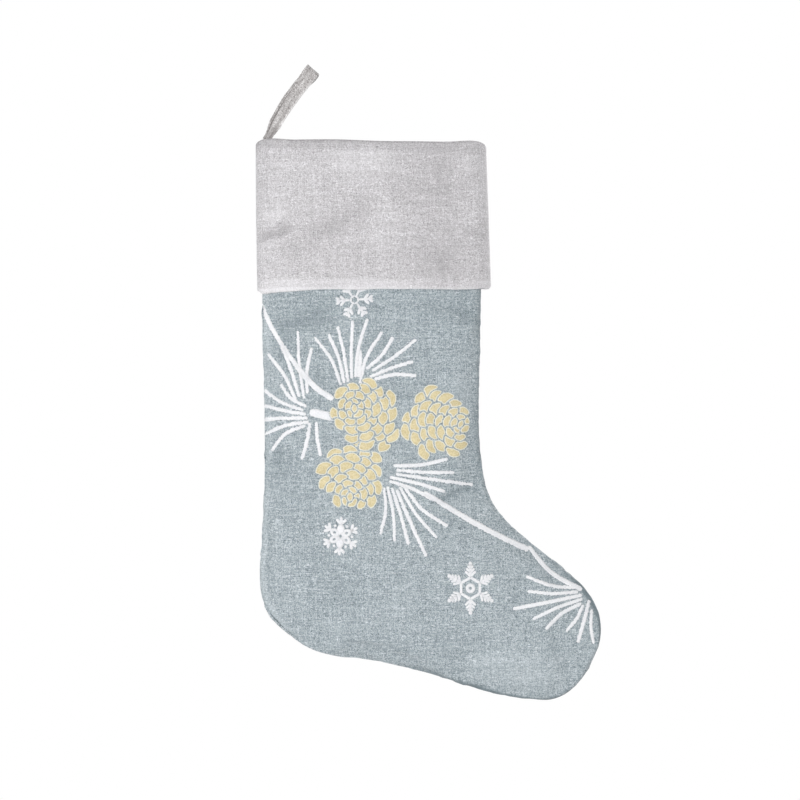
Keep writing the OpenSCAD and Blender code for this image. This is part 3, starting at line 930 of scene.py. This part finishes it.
def strap_centre_line():
    """(distance under the hook, depth, shift across, half-width) along the doubled strap."""
    def strand_shift(d):
        return (1.5 * smooth_step((d / MM - 1) / 22) - 0.6 * smooth_step((d / MM - 58) / 10)) * MM

    def half_width(d):
        whole = 6.9 - 0.9 * smooth_step((d / MM - 28) / 24) - 2.2 * smooth_step((d / MM - 54) / 15)
        return whole * MM - strand_shift(d)

    def strand(d, side):
        depth = TACK_GAP + (HOOK_GAP - TACK_GAP) * smooth_step((52 * MM - d) / (36 * MM))
        bow = -2.5 * MM * math.sin(math.pi * min(1, max(0, d / STRAP_LEN)))
        return d, side * depth, bow - side * strand_shift(d), half_width(d)

    places = np.linspace(2 * MM, STRAP_LEN + PAST_TACK, 60)
    turns = [math.pi * k / 16 for k in range(1, 16)]
    fold_over = [(-HOOK_GAP * math.sin(a), -HOOK_GAP * math.cos(a), 0.0, half_width(0)) for a in turns]
    return np.array([strand(d, -1) for d in places[::-1]] + fold_over + [strand(d, 1) for d in places])


def strap_section():
    """Points round the strap's section from -1 to 1, x across it and y through it."""
    face = [(x, 1.0) for x in np.linspace(0.93, -0.93, 19)]
    end = [(-0.93 - 0.07 * math.sin(a), math.cos(a)) for a in np.radians([30, 60, 90, 120, 150])]
    half = face + end
    return half + [(-x, -y) for x, y in half]


STRAP_SECTION = strap_section()


def strap_painted_light_at(x, d, front):
    """A strand's painted light and shade at x across it, from -1 to 1, and d millimetres under the hook."""
    # Painted shade and painted highlight: the front strand's edge shades the one behind it, a hollow runs
    # down its middle, the root at the hook and the lower part are darker, and the edges are lit.
    tone = 0.2 * abs(x) ** 8 - 0.1 - 0.6 * smooth_step((d - 56) / 10) * (0.4 + 0.6 * (x > 0))
    tone -= 0.25 * (1 - smooth_step(d / 8))
    if not front:
        return tone + 0.15 - 1.35 * smooth_step((d - 6) / 16) * (x > -0.52)
    tone -= 0.95 * smooth_step((d - 8) / 16) * (x < -0.9)
    tone -= 0.5 * hump(x - 0.32, 0.28) * smooth_step((d - 12) / 34)
    tone -= 0.35 * hump(x + 0.7, 0.25) * smooth_step((d - 3) / 10) * smooth_step((45 - d) / 15)
    tone += 0.8 * smooth_step((x - 0.66) / 0.25) * smooth_step((d - 3) / 8) * smooth_step((62 - d) / 12)
    return tone


def strap_mesh():
    """The strap's points, faces, flat places and painted light and shade."""
    line = strap_centre_line()
    across, up = strap_across, strap_up
    toward = np.array([0.0, 1.0, 0.0])
    centre = -line[:, :1] * up + line[:, 1:2] * toward + line[:, 2:3] * across
    run = np.gradient(centre, axis=0)
    run -= (run @ across)[:, None] * across
    run /= np.linalg.norm(run, axis=1, keepdims=True)
    normal = np.cross(run, across)
    rings, flat, wear = [], [], []
    length = run_along(centre)
    for i, (c, n) in enumerate(zip(centre, normal)):
        d, front, half = line[i, 0] / MM, line[i, 1] < 0, line[i, 3]
        for x, y in STRAP_SECTION:
            edge_roll = 1 + 0.25 * abs(x) ** 6
            ripple = noise.noise(Vector((x * 1.4, length[i] / (9 * MM), 3.1))) * 0.12 * MM
            slant = (0.3 * MM - 0.13 * x * half) * (1 - smooth_step(d / 30))
            out = y * STRAP_CLOTH / 2 * edge_roll + ripple
            rings.append(c + across * x * half * (1 + 0.02 * ripple / MM) + n * out + up * slant)
            flat.append((x * half, length[i]))
            wear.append(strap_painted_light_at(x, d, front))
    count = len(line)
    ring = len(STRAP_SECTION)
    faces = grid_faces(count, ring, ring=True)
    faces.append(tuple(range(ring)))
    faces.append(tuple((count - 1) * ring + k for k in range(ring))[::-1])
    return rings, faces, flat, wear


strap_verts, strap_faces, strap_flat, strap_painted_light = strap_mesh()
strap = new_mesh("hanging_strap", strap_verts, strap_faces, strap_cloth, strap_flat, strap_painted_light)


def strap_tail():
    """The strap's sewn ends, down inside the mouth between cuff and lining."""
    rows, cols = 22, 9
    z = np.linspace(1.5 * MM, -19 * MM, rows)[:, None] + np.zeros((1, cols))
    x = np.linspace(-2.3 * MM, 2.3 * MM, cols)[None, :] + np.zeros((rows, 1))
    parts = []
    for side in (-1, 1):
        y = side * (0.25 + 0.9 * smooth_step((-z / MM - 2) / 8)) * MM
        y = y + noise_at(np.stack([x, y, z], -1), 5 * MM, 61 + side) * 0.08 * MM
        grid = np.stack([tack[0] + x, y, tack[2] + z], axis=-1)
        thick = np.array([0, side * 0.6 * MM, 0])
        pts = list(grid.reshape(-1, 3)) + list((grid + thick).reshape(-1, 3))
        n = rows * cols
        faces = grid_faces(rows, cols, flip=side < 0)
        faces += [tuple(n + i for i in f[::-1]) for f in faces]
        rim = list(range(cols)) + [i * cols + cols - 1 for i in range(1, rows)]
        rim += [n - 1 - i for i in range(1, cols)] + [i * cols for i in range(rows - 2, 0, -1)]
        for a, b in zip(rim, rim[1:] + rim[:1]):
            face = (a, b, n + b, n + a)
            faces.append(face if side < 0 else face[::-1])
        parts.append((pts, faces))
    verts, faces = join_parts(parts)
    flat = [(v[0], v[2]) for v in verts]
    return new_mesh("strap_tail", verts, faces, strap_cloth, flat)


tail = strap_tail()
tail_parts = []
for dx in (-1.2 * MM, 1.2 * MM):
    for dz in (-9 * MM, -13 * MM, -17 * MM):
        for side in (-1, 1):
            p = np.array([tack[0] + dx, side * 1.85 * MM, tack[2] + dz])
            tail_parts.append(stitch(p, p + [0, 0, -2.6 * MM], 0.22 * MM, (0, side, 0)))
tail_stitches = stitched("tail_stitches_visible", tail_parts)


def tack_stitches():
    """A small cross of thread through both strands, at the tack."""
    parts = []
    for side in (-1, 1):
        base = tack + np.array([0, side * 1.95 * MM, 0])
        for turn in (-1, 1):
            a = base - 1.1 * MM * strap_up - turn * 1.1 * MM * strap_across
            b = base + 1.1 * MM * strap_up + turn * 1.1 * MM * strap_across
            parts.append(stitch(a, b, 0.2 * MM, (0, side, 0)))
    return stitched("tack_cross_stitch", parts)


tack_cross = tack_stitches()
fold_bar = stitched("strap_fold_bar", [
    stitch(fold - strap_across * 4.4 * MM, fold + strap_across * 4.0 * MM, 0.5 * MM, (0.1, 0.2, 1))])
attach(fold_bar, "loop_root")


# ---------------------------------------------------------------- the print
# The print is laid out in millimetres from the mouth's heel-side corner, x
# towards the toe side and y downwards, and then pressed onto the front cloth.
# INK is how far the ink lies off the cloth, and INK_COAT is how thick it is.
INK, INK_COAT = 0.14 * MM, 0.12 * MM
# How far apart a stroke's cross-sections are, and how many points each has.
STEP, LANES = 0.8, 5
front_tree = BVHTree.FromPolygons([Vector(v) for v in front_grid.reshape(-1, 3)],
                                  grid_faces(BODY_ROWS, BODY_COLS))
rng = random.Random(20)


def on_cloth(x, y):
    """The place on the front cloth of a place in the print, or None past its edge."""
    origin = Vector((CORNER[0] + x * MM, -0.1, CORNER[1] - y * MM))
    hit = front_tree.ray_cast(origin, Vector((0, 1, 0)))
    if hit[0] is None:
        return None
    normal = hit[1] if hit[1].y < 0 else -hit[1]
    if normal.y > -0.12:
        return None
    return np.array(hit[0] + normal * INK)


def hermite(points, steps):
    """A smooth curve through a few points, as many places."""
    pts = [np.array(p, float) for p in points]
    out = []
    for i in range(len(pts) - 1):
        p0 = pts[max(i - 1, 0)]
        p1, p2 = pts[i], pts[i + 1]
        p3 = pts[min(i + 2, len(pts) - 1)]
        m1 = (p2 - p0) / 2 if i > 0 else (p2 - p1)
        m2 = (p3 - p1) / 2 if i < len(pts) - 2 else (p2 - p1)
        for k in range(steps):
            f = k / steps
            h = (2 * f ** 3 - 3 * f * f + 1, f ** 3 - 2 * f * f + f, -2 * f ** 3 + 3 * f * f, f ** 3 - f * f)
            out.append(h[0] * p1 + h[1] * m1 + h[2] * p2 + h[3] * m2)
    out.append(pts[-1])
    return out


class Print:
    """Ink of one colour: flat faces gathered and pressed onto the cloth."""

    def __init__(self, name, material):
        self.name, self.material = name, material
        self.verts, self.faces, self.under = [], [], []

    def add(self, places, faces):
        spots = [on_cloth(x, y) for x, y in places]
        index = {}
        for i, spot in enumerate(spots):
            if spot is not None:
                index[i] = len(self.verts)
                self.verts.append(spot)
        for face in faces:
            if all(i in index for i in face) and not self.hidden([places[i] for i in face]):
                self.faces.append(tuple(index[i] for i in face))

    def hidden(self, corners):
        """Whether a face would lie under one of the cone scales in self.under."""
        x = sum(c[0] for c in corners) / len(corners)
        y = sum(c[1] for c in corners) / len(corners)
        return any(covers(scale, x, y, 0.3) for scale in self.under)

    def build(self):
        obj = new_mesh(self.name, self.verts, self.faces, self.material)
        thicken(obj, INK_COAT, 1.0)
        return obj


def stroke(target, points, width, ends=(0.85, 0.85), ragged=0.26):
    """A brush stroke through a few points, with uneven edges like ink on a coarse weave."""
    rough = np.array(hermite(points, 12))
    run = run_along(rough)
    total = float(run[-1])
    count = max(3, int(total / STEP))
    xs, ys = (np.interp(np.linspace(0, total, count), run, rough[:, k]) for k in (0, 1))
    places = []
    seed = rng.uniform(0, 90)
    for i in range(count):
        f = i / (count - 1)
        dx = xs[min(i + 1, count - 1)] - xs[max(i - 1, 0)]
        dy = ys[min(i + 1, count - 1)] - ys[max(i - 1, 0)]
        size = math.hypot(dx, dy) or 1
        nx, ny = -dy / size, dx / size
        body = ends[0] + (1 - ends[0]) * min(1, f / 0.25)
        body *= ends[1] + (1 - ends[1]) * min(1, (1 - f) / 0.25)
        cap = math.sqrt(min(1, 2.2 * min(i, count - 1 - i) * total / (count - 1) / width + 0.3))
        half = width / 2 * body * cap
        for k in range(LANES):
            q = 2 * k / (LANES - 1) - 1
            rag = ragged * noise.noise(Vector((seed + i * 0.9, 7.0 * q, seed))) * 1.7 if abs(q) == 1 else 0
            places.append((xs[i] + nx * (half * q + rag * (1 if q > 0 else -1)),
                           ys[i] + ny * (half * q + rag * (1 if q > 0 else -1))))
    target.add(places, grid_faces(count, LANES))


white = Print("print_needles_and_snow", white_ink)
gold = Print("print_cone_scales", gold_ink)
pale = Print("print_scale_outlines", pale_ink)

# Cones. Scales sit in rings round each tip, longer along the ring than across
# it, and each overlaps the ones further out.
RINGS = [(0, 1), (5.8, 5), (11.9, 8), (18.8, 11), (26.2, 14), (33.8, 17), (41.4, 21), (49, 25), (56.6, 28)]
SCALE_LONG = 7.4
SCALE_WIDE = 4.8
SCALE_GAP = 0.72
SCALE_LINE = 0.8
SCALE_POINTS = 40
# Scales nearer to another than this are dropped, and so are ones with less bare area.
SCALE_SPACE, SCALE_AREA = 5.0, 12


def cone_seeds(tip, centre, radii, turn, seed):
    """(place, angle round the tip, size) of the scales inside one cone's oval."""
    draw = random.Random(seed)
    seeds = []
    for ring, (radius, count) in enumerate(RINGS):
        for k in range(count):
            a = 2 * math.pi * (k + draw.uniform(-0.12, 0.12) + ring * 0.5) / count + turn
            r = radius * (1 + draw.uniform(-0.03, 0.03))
            x, y = tip[0] + r * math.cos(a), tip[1] + r * math.sin(a)
            lean = draw.uniform(-0.32, 0.32)
            size = min(1.08, 0.58 + 0.46 * radius / 22) * draw.uniform(0.9, 1.08)
            if ((x - centre[0]) / radii[0]) ** 2 + ((y - centre[1]) / radii[1]) ** 2 < 1:
                seeds.append(((x, y), a + lean, size))
    return seeds


def covers(scale, x, y, grow):
    """Whether a place lies under a scale, an almond across the way out from the tip."""
    (px, py), angle, size = scale
    out = (x - px) * math.cos(angle) + (y - py) * math.sin(angle)
    along = (y - py) * math.cos(angle) - (x - px) * math.sin(angle)
    u = along / (SCALE_LONG * size + 1.6 * grow)
    return abs(u) < 1 and abs(out / (SCALE_WIDE * size + grow)) < (1 - u * u) ** 0.85


def scale_outline(scale, above):
    """The part of a scale that shows past the ones over it, or None."""
    (px, py), angle, _ = scale
    near = [other for other in above if math.dist(other[0], scale[0]) < 2.3 * SCALE_LONG]

    def bare(x, y, gap):
        return covers(scale, x, y, 0) and not any(covers(other, x, y, gap) for other in near)

    tries = [(0.6 * k, turn) for k in range(7) for turn in (0, 0.6, -0.6, 1.2, -1.2, 1.9, -1.9, 3.1)]
    hubs = [(px + step * math.cos(angle + turn), py + step * math.sin(angle + turn)) for step, turn in tries]
    hub = next((h for h in hubs if bare(*h, SCALE_GAP + 0.8)), None)
    if hub is None:
        return None
    ring = []
    for k in range(SCALE_POINTS):
        a = 2 * math.pi * k / SCALE_POINTS
        r = 0.0
        while bare(hub[0] + (r + 0.2) * math.cos(a), hub[1] + (r + 0.2) * math.sin(a), SCALE_GAP):
            r += 0.2
        ring.append((hub[0] + r * math.cos(a), hub[1] + r * math.sin(a)))
    ring = np.array(ring)
    after = np.roll(ring, -1, axis=0)
    area = abs((ring[:, 0] * after[:, 1] - after[:, 0] * ring[:, 1]).sum()) / 2
    return ring if area > SCALE_AREA else None


def scale_shape(ring):
    """One cone scale: a pale outline and the gold inside it."""
    n = SCALE_POINTS
    ring = (np.roll(ring, 1, axis=0) + 2 * ring + np.roll(ring, -1, axis=0)) / 4
    centre = ring.mean(axis=0)
    ahead = np.roll(ring, -1, axis=0) - np.roll(ring, 1, axis=0)
    away = np.stack([ahead[:, 1], -ahead[:, 0]], axis=1)
    away /= np.maximum(np.linalg.norm(away, axis=1, keepdims=True), 1e-6)
    if ((ring - centre) * away).sum() < 0:
        away = -away
    jag = np.array([[noise.noise(Vector((p[0] * 0.8, p[1] * 0.8, 4.0))) * 0.3] for p in ring])
    ring = ring + away * jag
    inner = ring - away * SCALE_LINE
    pale.add([tuple(p) for p in ring] + [tuple(p) for p in inner], grid_faces(2, n, ring=True))
    rings = 5
    places = [tuple(centre + (p - centre) * (1 - k / rings)) for k in range(rings) for p in inner]
    places.append(tuple(centre))
    faces = grid_faces(rings, n, ring=True)
    last = (rings - 1) * n
    faces += [(last + i, last + (i + 1) % n, rings * n) for i in range(n)]
    gold.add(places, faces)


# Cones: tip, centre, radii, turn and random seed. The last fills out the first.
CONES = [
    ((86, 242), (96, 247), (29, 29.5), 0.3, 1), ((181, 256), (159.5, 255), (29.5, 30), 0.1, 2),
    ((82, 321), (85.5, 302), (28.5, 29), 0.5, 3), ((86, 242), (109, 271), (15, 9), 0.3, 4)]
kept = []
for cone in CONES:
    for seed in cone_seeds(*cone):
        if all(math.dist(seed[0], other[0]) > SCALE_SPACE for other in kept):
            kept.append(seed)
for i, scale in enumerate(kept):
    outline = scale_outline(scale, kept[:i])
    if outline is not None:
        scale_shape(outline)
white.under = kept


def polar(centre, r, a):
    """The place r from a centre, at an angle clockwise from straight up."""
    return centre[0] + r * math.sin(a), centre[1] - r * math.cos(a)


def spray(root, heading, spread, count, length):
    """A fan of needles that leave a twig side by side and bow outwards."""
    for k in range(count):
        share = k / (count - 1) - 0.5
        turn = spread * (share + needle_draw.uniform(-0.05, 0.05))
        base = polar(root, NEEDLE_PITCH * count * share, heading + math.pi / 2)
        base = polar(base, needle_draw.uniform(-3, 5), heading)
        reach = length * needle_draw.uniform(0.84, 1.1) * (1 - 0.22 * abs(2 * share))
        middle = polar(base, reach / 2, heading + 0.66 * turn)
        stroke(white, [base, middle, polar(base, reach, heading + turn)],
               needle_draw.uniform(2.9, 3.4), ragged=0.6)


NEEDLE_PITCH = 2.8
needle_draw = random.Random(7)
# Boughs: a few points and a width.
BOUGHS = [
    ([(0, 144), (14, 174), (34, 204)], 4.1), ([(33, 203), (50, 222), (67, 234)], 5.2),
    ([(46, 245), (67, 250)], 7.6), ([(91, 190), (90, 214)], 4.6),
    ([(148, 317), (196, 346), (242, 369)], 4.8), ([(242, 366), (262, 389), (290, 405)], 4.0)]
# Sprays: root, heading, spread, how many needles and their length.
SPRAYS = [
    ((82, 219), -0.06, 0.85, 6, 62), ((101, 211), 1.1, 0.75, 4, 52),
    ((39, 233), -0.22, 0.65, 4, 60), ((45, 249), -1.5, 1.3, 6, 47), ((49, 256), 3.2, 0.35, 2, 46),
    ((119, 300), 1.72, 0.5, 5, 64), ((121, 312), 2.78, 0.9, 6, 64),
    ((288, 410), -1.74, 0.8, 5, 60), ((296, 417), 3.42, 0.6, 3, 40)]
for points, width in BOUGHS:
    stroke(white, points, width, ends=(0.8, 1), ragged=0.5)
for fan in SPRAYS:
    spray(*fan)


def twigs(centre, angle, pairs, width):
    """Pairs of side twigs on one arm: how far out, how long, how slanted."""
    for where, length, slant in pairs:
        root = polar(centre, where, angle)
        for side in (-1, 1):
            stroke(white, [root, polar(root, length, angle + side * slant)], width, ragged=0.1)


def hexagon(centre, r, turn, width):
    """A six-sided ring of strokes."""
    corners = [polar(centre, r, turn + 2 * math.pi * k / 6) for k in range(7)]
    for a, b in zip(corners, corners[1:]):
        stroke(white, [a, b], width, ends=(1, 1), ragged=0.1)


def blob(centre, rx, ry, angle, hole=0.0):
    """A filled oval, or a ring of ink when it has a hole."""
    count = 20
    places, faces = [], grid_faces(3, count, ring=True)
    for f in (1.0, (1 + hole) / 2, max(hole, 0.05)):
        for k in range(count):
            w = 2 * math.pi * k / count
            u, v = rx * f * math.cos(w), ry * f * math.sin(w)
            places.append((centre[0] + u * math.cos(angle) + v * math.sin(angle),
                           centre[1] + u * math.sin(angle) - v * math.cos(angle)))
    if not hole:
        faces.append(tuple(2 * count + k for k in range(count)))
    white.add(places, faces)


SIXTH = math.pi / 3
# One with a hexagon ring and forked arms, one with petals, one with feathered arms.
flake = (86, 145)
hexagon(flake, 3.7, 1.0, 1.9)
for k in range(6):
    a = 1.5 + k * SIXTH
    stroke(white, [polar(flake, 4.2, a), polar(flake, 16.4, a)], 2.2, ragged=0.12)
    twigs(flake, a, [(8.8, 6.0, 0.85), (13.0, 4.6, 0.75)], 2.5)
flake = (73.5, 356)
blob(flake, 2.5, 2.5, 0, 0.55)
for k in range(6):
    a = 0.06 + k * SIXTH
    blob(polar(flake, 6.2, a), 3.4, 4.6, a, 0 if k % 3 == 0 else 0.3)
    stroke(white, [polar(flake, 10.0, a), polar(flake, 17.0, a)], 2.5, ragged=0.12)
    twigs(flake, a, [(11.0, 6.0, 0.85)], 2.7)
    blob(polar(flake, 10.4, a + SIXTH / 2), 1.25, 1.25, 0)
flake = (189.5, 402.5)
hexagon(flake, 9.6, 0, 2.4)
blob(flake, 4.3, 4.3, 0, 0.3)
for k in range(6):
    a = k * SIXTH
    stroke(white, [polar(flake, 10.2, a), polar(flake, 21.6, a)], 2.3, ragged=0.1)
    twigs(flake, a, [(10.6, 6.6, 0.8), (14.2, 5.2, 0.8), (17.6, 3.6, 0.8)], 2.2)
    blob(polar(flake, 21.8, a), 1.75, 1.75, 0)


white_print = white.build()
gold_print = gold.build()
pale_print = pale.build()

# ---------------------------------------------------------------- bodies, slot names that nothing reads, and what is replaced
PIECES = [
    (front_panel, "body_fabric", ("front_panel",)),
    (back_panel, "body_fabric", ("back_panel",)),
    (front_lining, "lining_fabric", ("front_lining",)),
    (back_lining, "lining_fabric", ("back_lining",)),
    (cuff, "cuff_fabric", ("cuff_front", "cuff_back", "cuff_facing_front", "cuff_facing_back")),
    (tail, "cuff_fabric", ("loop_tail",)),
    (tack_cross, "cuff_thread", ("tack_thread",)),
    (tail_stitches, "cuff_thread", ("tail_stitches",)),
    (mouth_stitches, "cuff_thread", ("mouth_seam_thread",)),
    (hem_stitches, "cuff_thread", ("hem_seam_thread",)),
    (cuff_stitches, "cuff_thread", ("cuff_seam_thread",)),
    (body_stitches, "body_thread", ("body_seam_thread",)),
    (lining_stitches, "lining_thread", ("lining_seam_thread",)),
    (white_print, "ink_white", ()),
    (pale_print, "ink_white", ()),
    (gold_print, "ink_gold", ()),
]
for piece, slot_name, nodes in PIECES:
    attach(piece, "stocking")
    if nodes:
        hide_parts(*nodes)

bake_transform(strap)
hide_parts("hanging_loop", "loop_root_tab")
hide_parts("fold_thread")

# ---------------------------------------------------------------- floor, light and camera
low, high = (np.array(c) for c in cad_bounds)
middle = (low + high) / 2
AMBIENT = 0.5
FLOOR_GREY = (0.7, 0.7, 0.7)
# How far under the object the floor lies, and half its width.
FLOOR_DROP, FLOOR_REACH = 0.30, 40.0


def pale_floor():
    """A floor that takes the light, and is left out of the part."""
    size = FLOOR_REACH
    z = float(low[2] - FLOOR_DROP)
    floor = new_mesh("floor", [(-size, -size, z), (size, -size, z), (size, size, z), (-size, size, z)],
                     [(0, 1, 2, 3)], bpy.data.materials.new("floor"))
    mat = floor.data.materials[0]
    mat.use_nodes = True
    tree = mat.node_tree
    shader = tree.nodes["Principled BSDF"]
    shader.inputs["Base Color"].default_value = (*FLOOR_GREY, 1)
    shader.inputs["Roughness"].default_value = 0.9
    # To look at, it is as white as the backdrop.
    glow = tree.nodes.new("ShaderNodeEmission")
    seen = tree.nodes.new("ShaderNodeLightPath")
    mix = tree.nodes.new("ShaderNodeMixShader")
    tree.links.new(seen.outputs["Is Camera Ray"], mix.inputs[0])
    tree.links.new(shader.outputs[0], mix.inputs[1])
    tree.links.new(glow.outputs[0], mix.inputs[2])
    tree.links.new(mix.outputs[0], tree.nodes["Material Output"].inputs[0])


def area_light(name, place, size, power):
    """A square light aimed at the object's middle."""
    data = bpy.data.lights.new(name, "AREA")
    data.size = size
    data.energy = power
    light = bpy.data.objects.new(name, data)
    bpy.context.collection.objects.link(light)
    light.location = place
    light.rotation_euler = (Vector(middle) - Vector(place)).to_track_quat("-Z", "Y").to_euler()


pale_floor()
area_light("key", (-2.3, -3.3, -0.7), 1.0, 168)
area_light("fill", (2.6, -1.6, 0.2), 2.0, 27)
area_light("rim", (1.4, 1.6, 0.8), 2.0, 44)
world = bpy.data.worlds.new("studio")
world.use_nodes = True
# The white backdrop is brighter to look at than the soft light it gives.
tree = world.node_tree
seen = tree.nodes.new("ShaderNodeLightPath")
strength = tree.nodes.new("ShaderNodeMapRange")
strength.inputs["To Min"].default_value = AMBIENT
strength.inputs["To Max"].default_value = 1.0
tree.links.new(seen.outputs["Is Camera Ray"], strength.inputs["Value"])
tree.links.new(strength.outputs["Result"], tree.nodes["Background"].inputs[1])
tree.nodes["Background"].inputs[0].default_value = (1, 1, 1, 1)
bpy.context.scene.world = world
bpy.context.scene.view_settings.view_transform = "Standard"

FIELD = 0.72
DISTANCE = 2.0
camera_data = bpy.data.cameras.new("camera")
camera_data.sensor_width = 36
camera_data.lens = camera_data.sensor_width * DISTANCE / FIELD
camera = bpy.data.objects.new("camera", camera_data)
bpy.context.collection.objects.link(camera)
camera.location = (0.0801, -DISTANCE, -0.2939)
camera.rotation_euler = (math.pi / 2, 0, 0)
bpy.context.scene.camera = camera
